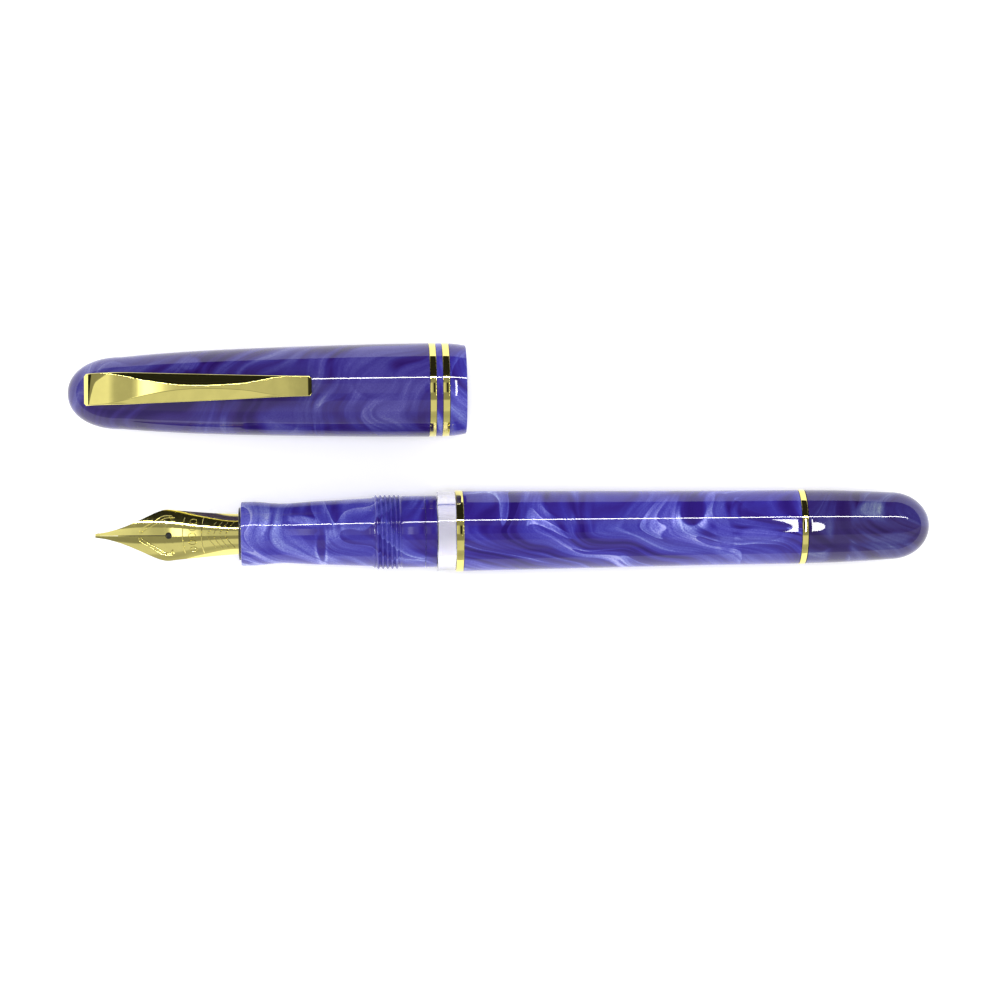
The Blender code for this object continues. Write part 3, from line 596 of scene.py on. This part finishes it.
def raised_line(bm, path, width=0.15, height=0.08, closed=False):
    """A fine rounded ridge along (u, w) points on the nib's top face."""
    points = [Vector(p) for p in path]
    count = len(points)
    rows = []
    for i, here in enumerate(points):
        before = points[i - 1] if i or closed else here
        after = points[(i + 1) % count] if i < count - 1 or closed else here
        heading = (after - before).normalized()
        aside = Vector((-heading.y, heading.x)) * width / 2
        taper = 1.0 if closed else min(1.0, 0.25 + 0.4 * min(i, count - 1 - i))
        row = []
        for share, lift in ((-1.0, -0.02), (-0.45, 0.75), (0.0, 1.0), (0.45, 0.75), (1.0, -0.02)):
            spot = here + aside * share * taper
            row.append(bm.verts.new(nib_point(spot.x, spot.y, -height * lift * taper)))
        rows.append(row)
    pairs = list(zip(rows, rows[1:]))
    if closed:
        pairs.append((rows[-1], rows[0]))
    for near, far in pairs:
        for j in range(4):
            bm.faces.new((near[j], near[j + 1], far[j + 1], far[j]))
        bm.faces.new((near[4], near[0], far[0], far[4]))
    if not closed:
        bm.faces.new(rows[0])
        bm.faces.new(rows[-1])


def smooth_path(path, count):
    """A smooth curve (Catmull-Rom) through the path's points."""
    fine = []
    for k in spread(0, len(path) - 1.001, count):
        i = int(k)
        t = k - i
        before, after = path[max(i - 1, 0)], path[min(i + 2, len(path) - 1)]
        here, there = path[i], path[i + 1]
        fine.append(tuple(
            0.5 * (2 * p1 + (p2 - p0) * t + (2 * p0 - 5 * p1 + 4 * p2 - p3) * t**2
                   + (3 * p1 - p0 - 3 * p2 + p3) * t**3)
            for p0, p1, p2, p3 in zip(before, here, there, after)
        ))
    return fine


def make_nib_ornament(mat):
    """Plain line work in place of engraving: a scrolled border, two arcs, a row of ovals and leaf lines."""
    bm = bmesh.new()
    border = ((6.9, 0.3), (7.3, 1.05), (8.4, 1.65), (9.5, 2.3), (10.5, 2.95), (11.3, 3.15), (12.3, 3.1))
    for side in (1, -1):
        for inset in (0.0, 0.42):
            path = [(u + inset * 0.9, side * max(0.3, w - inset * 0.75)) for u, w in border]
            raised_line(bm, smooth_path(path, 44))
        spiral = [
            (12.3 + 0.05 * a * math.sin(a), side * (2.62 + (0.48 - 0.05 * a) * math.cos(a)))
            for a in spread(0.0, 2.2 * math.pi, 30)
        ]
        raised_line(bm, spiral, 0.11)
    for u_at in (13.9, 16.9):
        raised_line(bm, [(u_at + 0.05 * w * w, w) for w in spread(-2.9, 2.9, 40)])
    for w_at in spread(-2.2, 2.2, 4):
        oval = [
            (15.4 + 0.05 * w_at**2 + 0.55 * math.cos(a), w_at + 0.36 * math.sin(a))
            for a in spread(0.0, 2 * math.pi, 24)[:-1]
        ]
        raised_line(bm, oval, 0.1, closed=True)
    for k in range(4):
        start = 17.9 + 0.95 * k
        for side in (1, -1):
            leaf = [(start + 1.5 * t**1.4, side * (0.12 + 2.0 * t)) for t in spread(0.0, 1.0, 20)]
            raised_line(bm, leaf, 0.12)
    piece("nib_ornament", bm, mat, "pen")


# ---- clip -------------------------------------------------------------------------------------------
CLIP_START, CLIP_END = 2.95, 38.7
CLIP_LOW = (
    (CLIP_START, 4.95), (3.5, 5.35), (4.6, 5.95), (6.7, 6.75), (9.0, 7.25), (13.0, 7.67), (18.2, 7.88),
    (23.3, 7.9), (28.4, 7.8), (32.4, 7.7), (35.0, 7.45), (36.6, 7.34), (CLIP_END, 7.36),
)
CLIP_HIGH = (
    (CLIP_START, 5.85), (3.5, 6.55), (4.6, 7.35), (6.7, 8.1), (9.0, 8.5), (13.0, 8.93), (18.2, 9.13),
    (23.3, 9.13), (28.4, 9.125), (32.4, 9.12), (35.0, 9.12), (CLIP_END, 9.11),
)
CLIP_HALF = (
    (CLIP_START, 2.52), (9.0, 2.53), (13.0, 2.4), (18.2, 2.23), (23.3, 2.06), (28.4, 1.88), (32.4, 1.73),
    (CLIP_END, 1.6),
)
CLIP_FACE = (
    (CLIP_START, 2.44), (5.0, 2.46), (6.7, 2.38), (9.0, 2.0), (13.0, 1.1), (18.2, 0.38), (23.3, 0.28),
    (28.4, 0.6), (32.4, 1.3), (34.8, 1.6), (CLIP_END, 1.55),
)


def make_clip(mat):
    """The clip's bar: a flat face that narrows in the middle, and flanks that fall away from it."""
    end_round = 0.35
    rings = []
    for v in spread(CLIP_START, CLIP_END, 110):
        low, high = curve_at(CLIP_LOW, v), curve_at(CLIP_HIGH, v)
        half, face = curve_at(CLIP_HALF, v), curve_at(CLIP_FACE, v)
        face = min(face, half - 0.08)
        end = min(1.0, max(0.0, min(v - CLIP_START, CLIP_END - v)) / end_round)
        pull = end_round * (1 - math.sqrt(1 - (1 - end) ** 2)) if end < 1 else 0.0
        half, face = half - pull, face - pull
        shoulder = high - 0.1 - 0.42 * (half - face)
        side = [(half - 0.12, low), (half, low + 0.12), (half, shoulder), (face, high)]
        side = softened([(0.0, low), *side, (0.0, high)], 0.11, closed=False)[1:-1]
        ring = [place(v, y, z, CAP, CAP_ROLL) for y, z in side]
        ring += [place(v, -y, z, CAP, CAP_ROLL) for y, z in reversed(side)]
        rings.append(ring)
    piece("clip_bar", lofted(rings), mat, "clip", ["clip"], sharp=22)


# ---- cap --------------------------------------------------------------------------------------------
def make_cap(mats):
    band_step = UPPER_BAND[0] - GAP
    neck_end = CAP_LENGTH - 0.5
    dome = [CAP_DOME_LENGTH * (1 - math.cos(a)) for a in spread(0, math.pi / 2, 30)[1:]]
    outline = [
        (0.0, 0.0), *[(v, cap_outer_r(v)) for v in dome],
        *along(CAP_CURVE, CAP_DOME_LENGTH, UPPER_BAND[0], 50)[1:-1],
        (band_step, BAND_R), (band_step, 6.75), (neck_end, 6.75), (neck_end, CAP_MOUTH_R),
        *[(v, CAP_MOUTH_R) for v in reversed(spread(CAP_THREAD_START, CAP_THREAD_END, 40))],
        (52.9, CAP_BORE_R), (31.9, CAP_BORE_R),
        *[(v, min(CAP_BORE_R, cap_outer_r(v) - 1.1)) for v in (24.0, 16.0, 11.0, 7.8, 7.6)],
        (7.6, CLIP_BLOCK_R), (2.9, CLIP_BLOCK_R), (2.9, 0.0),
    ]
    thread = thread_shape(CAP_THREAD_START, CAP_THREAD_END, -CAP_THREAD_DEPTH, THREAD_PITCH)

    def inner_only(x, r, angle):
        return thread(x, r, angle) if abs(r - CAP_MOUTH_R) < 0.01 else r

    bm = turned(softened(outline, 0.05, closed=False), CAP, shape=inner_only)
    piece("cap_shell", bm, mats["cap"], "cap", ["cap_tube"])
    lip_start = LOWER_BAND[1] + GAP
    upper = sleeve(*UPPER_BAND, BAND_SEAT_R, BAND_R)
    lower = sleeve(*LOWER_BAND, BAND_SEAT_R, LOWER_BAND_R)
    spacer = sleeve(UPPER_BAND[1] + GAP, LOWER_BAND[0] - GAP, BAND_SEAT_R, SPACER_R)
    lip = [
        (lip_start, BAND_SEAT_R), (lip_start, LIP_R),
        *[(lip_start + 2.7 * t, LIP_R - 0.34 * t**1.6) for t in spread(0.1, 1.0, 12)],
        (CAP_LENGTH - 0.02, 6.85), (CAP_LENGTH, CAP_MOUTH_R), (CAP_LENGTH - 0.45, CAP_MOUTH_R),
        (CAP_LENGTH - 0.45, BAND_SEAT_R),
    ]
    for name, outline, corner, mat, slot, node in (
        ("upper_band", upper, 0.06, "gold", "gold_trim", "cap_band_upper"),
        ("lower_band", lower, 0.06, "gold", "gold_trim", "cap_band_lower"),
        ("spacer_ring", spacer, 0.04, "spacer", "swirl_resin", "cap_spacer_ring"),
        ("cap_lip", lip, 0.08, "lip", "swirl_resin", "cap_lip_ring"),
    ):
        piece(name, turned(softened(outline, corner), CAP), mats[mat], "cap", [node])


# ---- stage ------------------------------------------------------------------------------------------
def make_floor():
    """Pale paper that glows a little, with a soft shade where the pen comes near."""
    bm = bmesh.new()
    bmesh.ops.create_grid(bm, x_segments=1, y_segments=1, size=3.0)
    mesh = bpy.data.meshes.new("floor")
    bm.to_mesh(mesh)
    bm.free()
    floor = bpy.data.objects.new("floor", mesh)
    n = material("floor_white")
    paper = n.noise(n.add("ShaderNodeTexCoord", "Object"), 300.0, 2.0)
    near = n.add("ShaderNodeAmbientOcclusion", "AO", {"Distance": 4 * MM}, samples=12)
    shade = n.remap(near, 0.28, 0.86, 0.25, 1.0, smooth=False)
    pale = n.mix(paper, (0.90, 0.90, 0.90), (0.92, 0.92, 0.92))
    seen = n.add("ShaderNodeLightPath", "Is Camera Ray")
    pale = n.mix(n.math("MULTIPLY", n.math("SUBTRACT", 1.0, shade), seen), pale, (0.0, 0.0, 0.0))
    n.set(Base_Color=pale, Roughness=0.9, Specular_IOR_Level=0.0, Emission_Color=pale, Emission_Strength=0.5)
    mesh.materials.append(n.owner)
    bpy.context.scene.collection.objects.link(floor)


WORLD_STRENGTH = 2.4    # the brightest panel that a reflection may show
ROOM_LIGHT = 1.12       # the even light that falls on everything


def make_world():
    """White all round, but a studio's dark and light panels in what shiny things reflect."""
    world = bpy.data.worlds.new("studio")
    bpy.context.scene.world = world
    n = Nodes(world)
    x, y, z = n.split(n.add("ShaderNodeTexCoord", "Generated"))

    def panels(offset, zones):
        """Light by angle from straight up, as (degrees, radiance) steps."""
        turn = n.math("ADD", n.math("DIVIDE", n.math("ARCTAN2", offset, z), 2 * math.pi), 0.5)
        stops = [((angle + 180) / 360, (light / WORLD_STRENGTH,) * 3) for angle, light in zones]
        return n.ramp(turn, stops)

    sideways = n.math("MULTIPLY", y, -1.0)
    across = panels(
        sideways,
        (
            (-180, 0.85), (-101, 0.85), (-97, 0.02), (-33, 0.02), (-32, 0.28), (-17, 0.30), (-15.5, 0.45),
            (7.5, 0.45), (9, 0.3), (25, 0.3), (28, 0.74), (54, 0.74), (58, 0.5), (70, 0.45),
            (100, 0.75), (180, 1.0),
        ),
    )
    along_pen = panels(
        x,
        (
            (-180, 0.6), (-75, 1.0), (-30, 1.0), (-21, 0.55), (-14.5, 0.5), (-12, 2.3), (-8.5, 2.3),
            (-5, 0.65), (1.3, 0.55), (1.5, 0.03), (7.7, 0.03), (8.0, 0.45), (14, 0.4), (40, 0.3), (90, 0.5),
            (180, 0.6),
        ),
    )
    lean = n.math("ARCTAN2", sideways, z)
    off_middle = n.math("ABSOLUTE", n.math("ADD", lean, math.radians(4)))
    overhead = n.math("LESS_THAN", off_middle, math.radians(12))
    pattern = n.mix(overhead, across, along_pen)
    outside = n.math("LESS_THAN", n.add("ShaderNodeLightPath", "Transmission Depth"), 0.5)
    mirrored = n.math("MULTIPLY", n.add("ShaderNodeLightPath", "Is Glossy Ray"), outside)
    even = (ROOM_LIGHT / WORLD_STRENGTH,) * 3
    back = n.tree.nodes["Background"]
    n.link(n.mix(mirrored, even, pattern), back.inputs["Color"])
    n.link(WORLD_STRENGTH, back.inputs["Strength"])


def lamp(name, location, target, size, radiance):
    """A rectangular lamp that shows only in what glossy things reflect."""
    data = bpy.data.lights.new(name, "AREA")
    data.shape = "RECTANGLE"
    data.size, data.size_y = size
    data.energy = radiance * math.pi * size[0] * size[1]
    light = bpy.data.objects.new(name, data)
    light.location = location
    light.rotation_euler = (Vector(target) - Vector(location)).to_track_quat("-Z", "Y").to_euler()
    light.visible_camera = False
    light.visible_diffuse = False
    light.visible_transmission = False
    bpy.context.scene.collection.objects.link(light)


def make_lights():
    """A long tube that draws the line along pen and cap, and a short window at the knob's end."""
    lamp("strip", (0.0, 0.300, 0.520), (0.0, 0.0, 0.0), (1.2, 0.020), 45.0)
    lamp("glint", (0.140, 0.038, 0.570), (0.140, 0.038, 0.0), (0.025, 0.40), 26.0)


CAMERA_AT = Vector((-0.0323, -0.0069, 0.583))
CAMERA_AIM = Vector((-0.0003, -0.0069, 0.007))
CAMERA_ROLL = math.radians(0.7)
CAMERA_LENS = 129.8


def make_camera():
    data = bpy.data.cameras.new("camera")
    data.sensor_width = 36.0
    data.lens = CAMERA_LENS
    data.clip_start = 0.01
    camera = bpy.data.objects.new("camera", data)
    camera.location = CAMERA_AT
    back = (CAMERA_AT - CAMERA_AIM).normalized()
    up = Vector((math.sin(CAMERA_ROLL), math.cos(CAMERA_ROLL), 0.0))
    right = up.cross(back).normalized()
    up = back.cross(right)
    camera.rotation_euler = Matrix((right, up, back)).transposed().to_euler()
    bpy.context.scene.collection.objects.link(camera)
    bpy.context.scene.camera = camera


# ---- what goes together -----------------------------------------------------------------------------
def at(axis, x):
    return axis + Vector((x, 0, 0)) * MM


def make_mats():
    return {
        "section": swirl_resin(
            "resin_section", at(PEN, 38), 5.5,
            seed=4.0, lean=1.0, bend=0.9, scale=1.15, lift=0.15, folds=0.75,
            spots=(
                (-4.6, 2.6, 2.2, 0.9, 0.85, 0.1),
                (-0.8, 0.3, 2.4, 1.0, 0.75, 0.1),
                (-2.0, -1.2, 0.9, 3.2, 0.2, 0.25),
            ),
        ),
        "barrel": swirl_resin(
            "resin_barrel", at(PEN, 85), 6.2,
            seed=11.0, lean=1.0, bend=2.4, scale=1.0, lift=0.01, folds=0.95,
            spots=(
                (9.6, 3.4, 3.3, 2.9, 0.12, 0.5),
                (20.6, -1.6, 3.4, 1.2, 0.66, 0.2),
                (15.4, 0.5, 1.6, 5.0, 0.62, 0.1),
            ),
        ),
        "knob": swirl_resin(
            "resin_knob", at(PEN, 122), 5.7,
            seed=23.0, lean=0.8, bend=1.0, scale=1.1, lift=-0.04, folds=0.6,
            tint=(0.85, 0.87, 0.55),
            spots=(
                (-3.9, 0.0, 2.3, 16.0, 0.13, 0.0),
                (2.5, 2.6, 3.0, 1.7, 0.85, 0.1),
                (5.5, -2.4, 3.5, 1.2, 0.5, 0.1),
            ),
        ),
        "cap": swirl_resin(
            "resin_cap", at(CAP, 32), 7.0,
            seed=31.0, lean=-1.2, bend=-0.8, scale=1.3, lift=-0.02, folds=0.45,
            tint=(0.90, 0.82, 0.66),
            spots=(
                (18.0, 1.2, 4.5, 3.2, 0.55, 0.1),
                (-14.0, 4.9, 2.6, 1.3, 0.62, 0.1),
                (4.0, -4.6, 5.0, 1.6, 0.45, 0.1),
            ),
        ),
        "spacer": swirl_resin(
            "resin_spacer", at(CAP, 58), 7.0,
            seed=37.0, lean=0.2, bend=0.2, scale=1.0, lift=0.2, folds=0.6,
        ),
        "lip": swirl_resin(
            "resin_lip", at(CAP, 61), 7.0,
            seed=41.0, lean=0.8, bend=0.8, scale=1.0, lift=0.10, folds=0.6,
        ),
        "gold": plated_gold("plated_gold"),
        "nib": plated_gold("nib_gold", (0.88, 0.79, 0.26), 0.045),
        "acrylic": clear_acrylic("clear_acrylic_tube"),
    }


def paint_inner_parts():
    """Materials for the nodes that stay visible as they are packed."""
    ebonite = moulded("ebonite", (0.012, 0.012, 0.013), 0.4)
    housing = moulded("ebonite_housing", (0.012, 0.012, 0.014), 0.3)
    tipping = moulded("tipping_metal", (0.62, 0.60, 0.52), 0.22, 0.1, 2500.0, metallic=1.0)
    liner = moulded("liner_plastic", (0.03, 0.03, 0.06), 0.4)
    plastic = moulded("piston_plastic", (0.80, 0.80, 0.78), 0.4)
    brass = moulded("turned_brass", (0.72, 0.55, 0.25), 0.3, 0.1, 1500.0, metallic=1.0)
    rubber = moulded("seal_rubber", (0.02, 0.02, 0.02), 0.65)
    for mat, nodes in (
        (tipping, ["nib_tipping"]),
        (ebonite, ["feed", "feed_ink_tube"]),
        (housing, ["nib_housing"]),
        (liner, ["inner_cap"]),
        (plastic, ["piston_head", "piston_rod", "piston_guide"]),
        (brass, ["clip_anchor_block", "clip_lock_screw", "drive_spindle", "knob_thrust_collar"]),
        (rubber, ["piston_front_seal", "piston_rear_seal", "guide_seal", "nib_unit_seal"]),
    ):
        for name in nodes:
            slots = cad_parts[name].data.materials
            slots.clear()
            slots.append(mat)


def main():
    bpy.context.scene.view_settings.view_transform = "Standard"
    mats = make_mats()
    make_section(mats["section"])
    make_barrel_pieces(mats)
    make_knob(mats["knob"])
    make_nib(mats["nib"])
    make_nib_ornament(mats["nib"])
    make_cap(mats)
    make_clip(mats["gold"])
    paint_inner_parts()
    make_floor()
    make_world()
    make_lights()
    make_camera()


main()
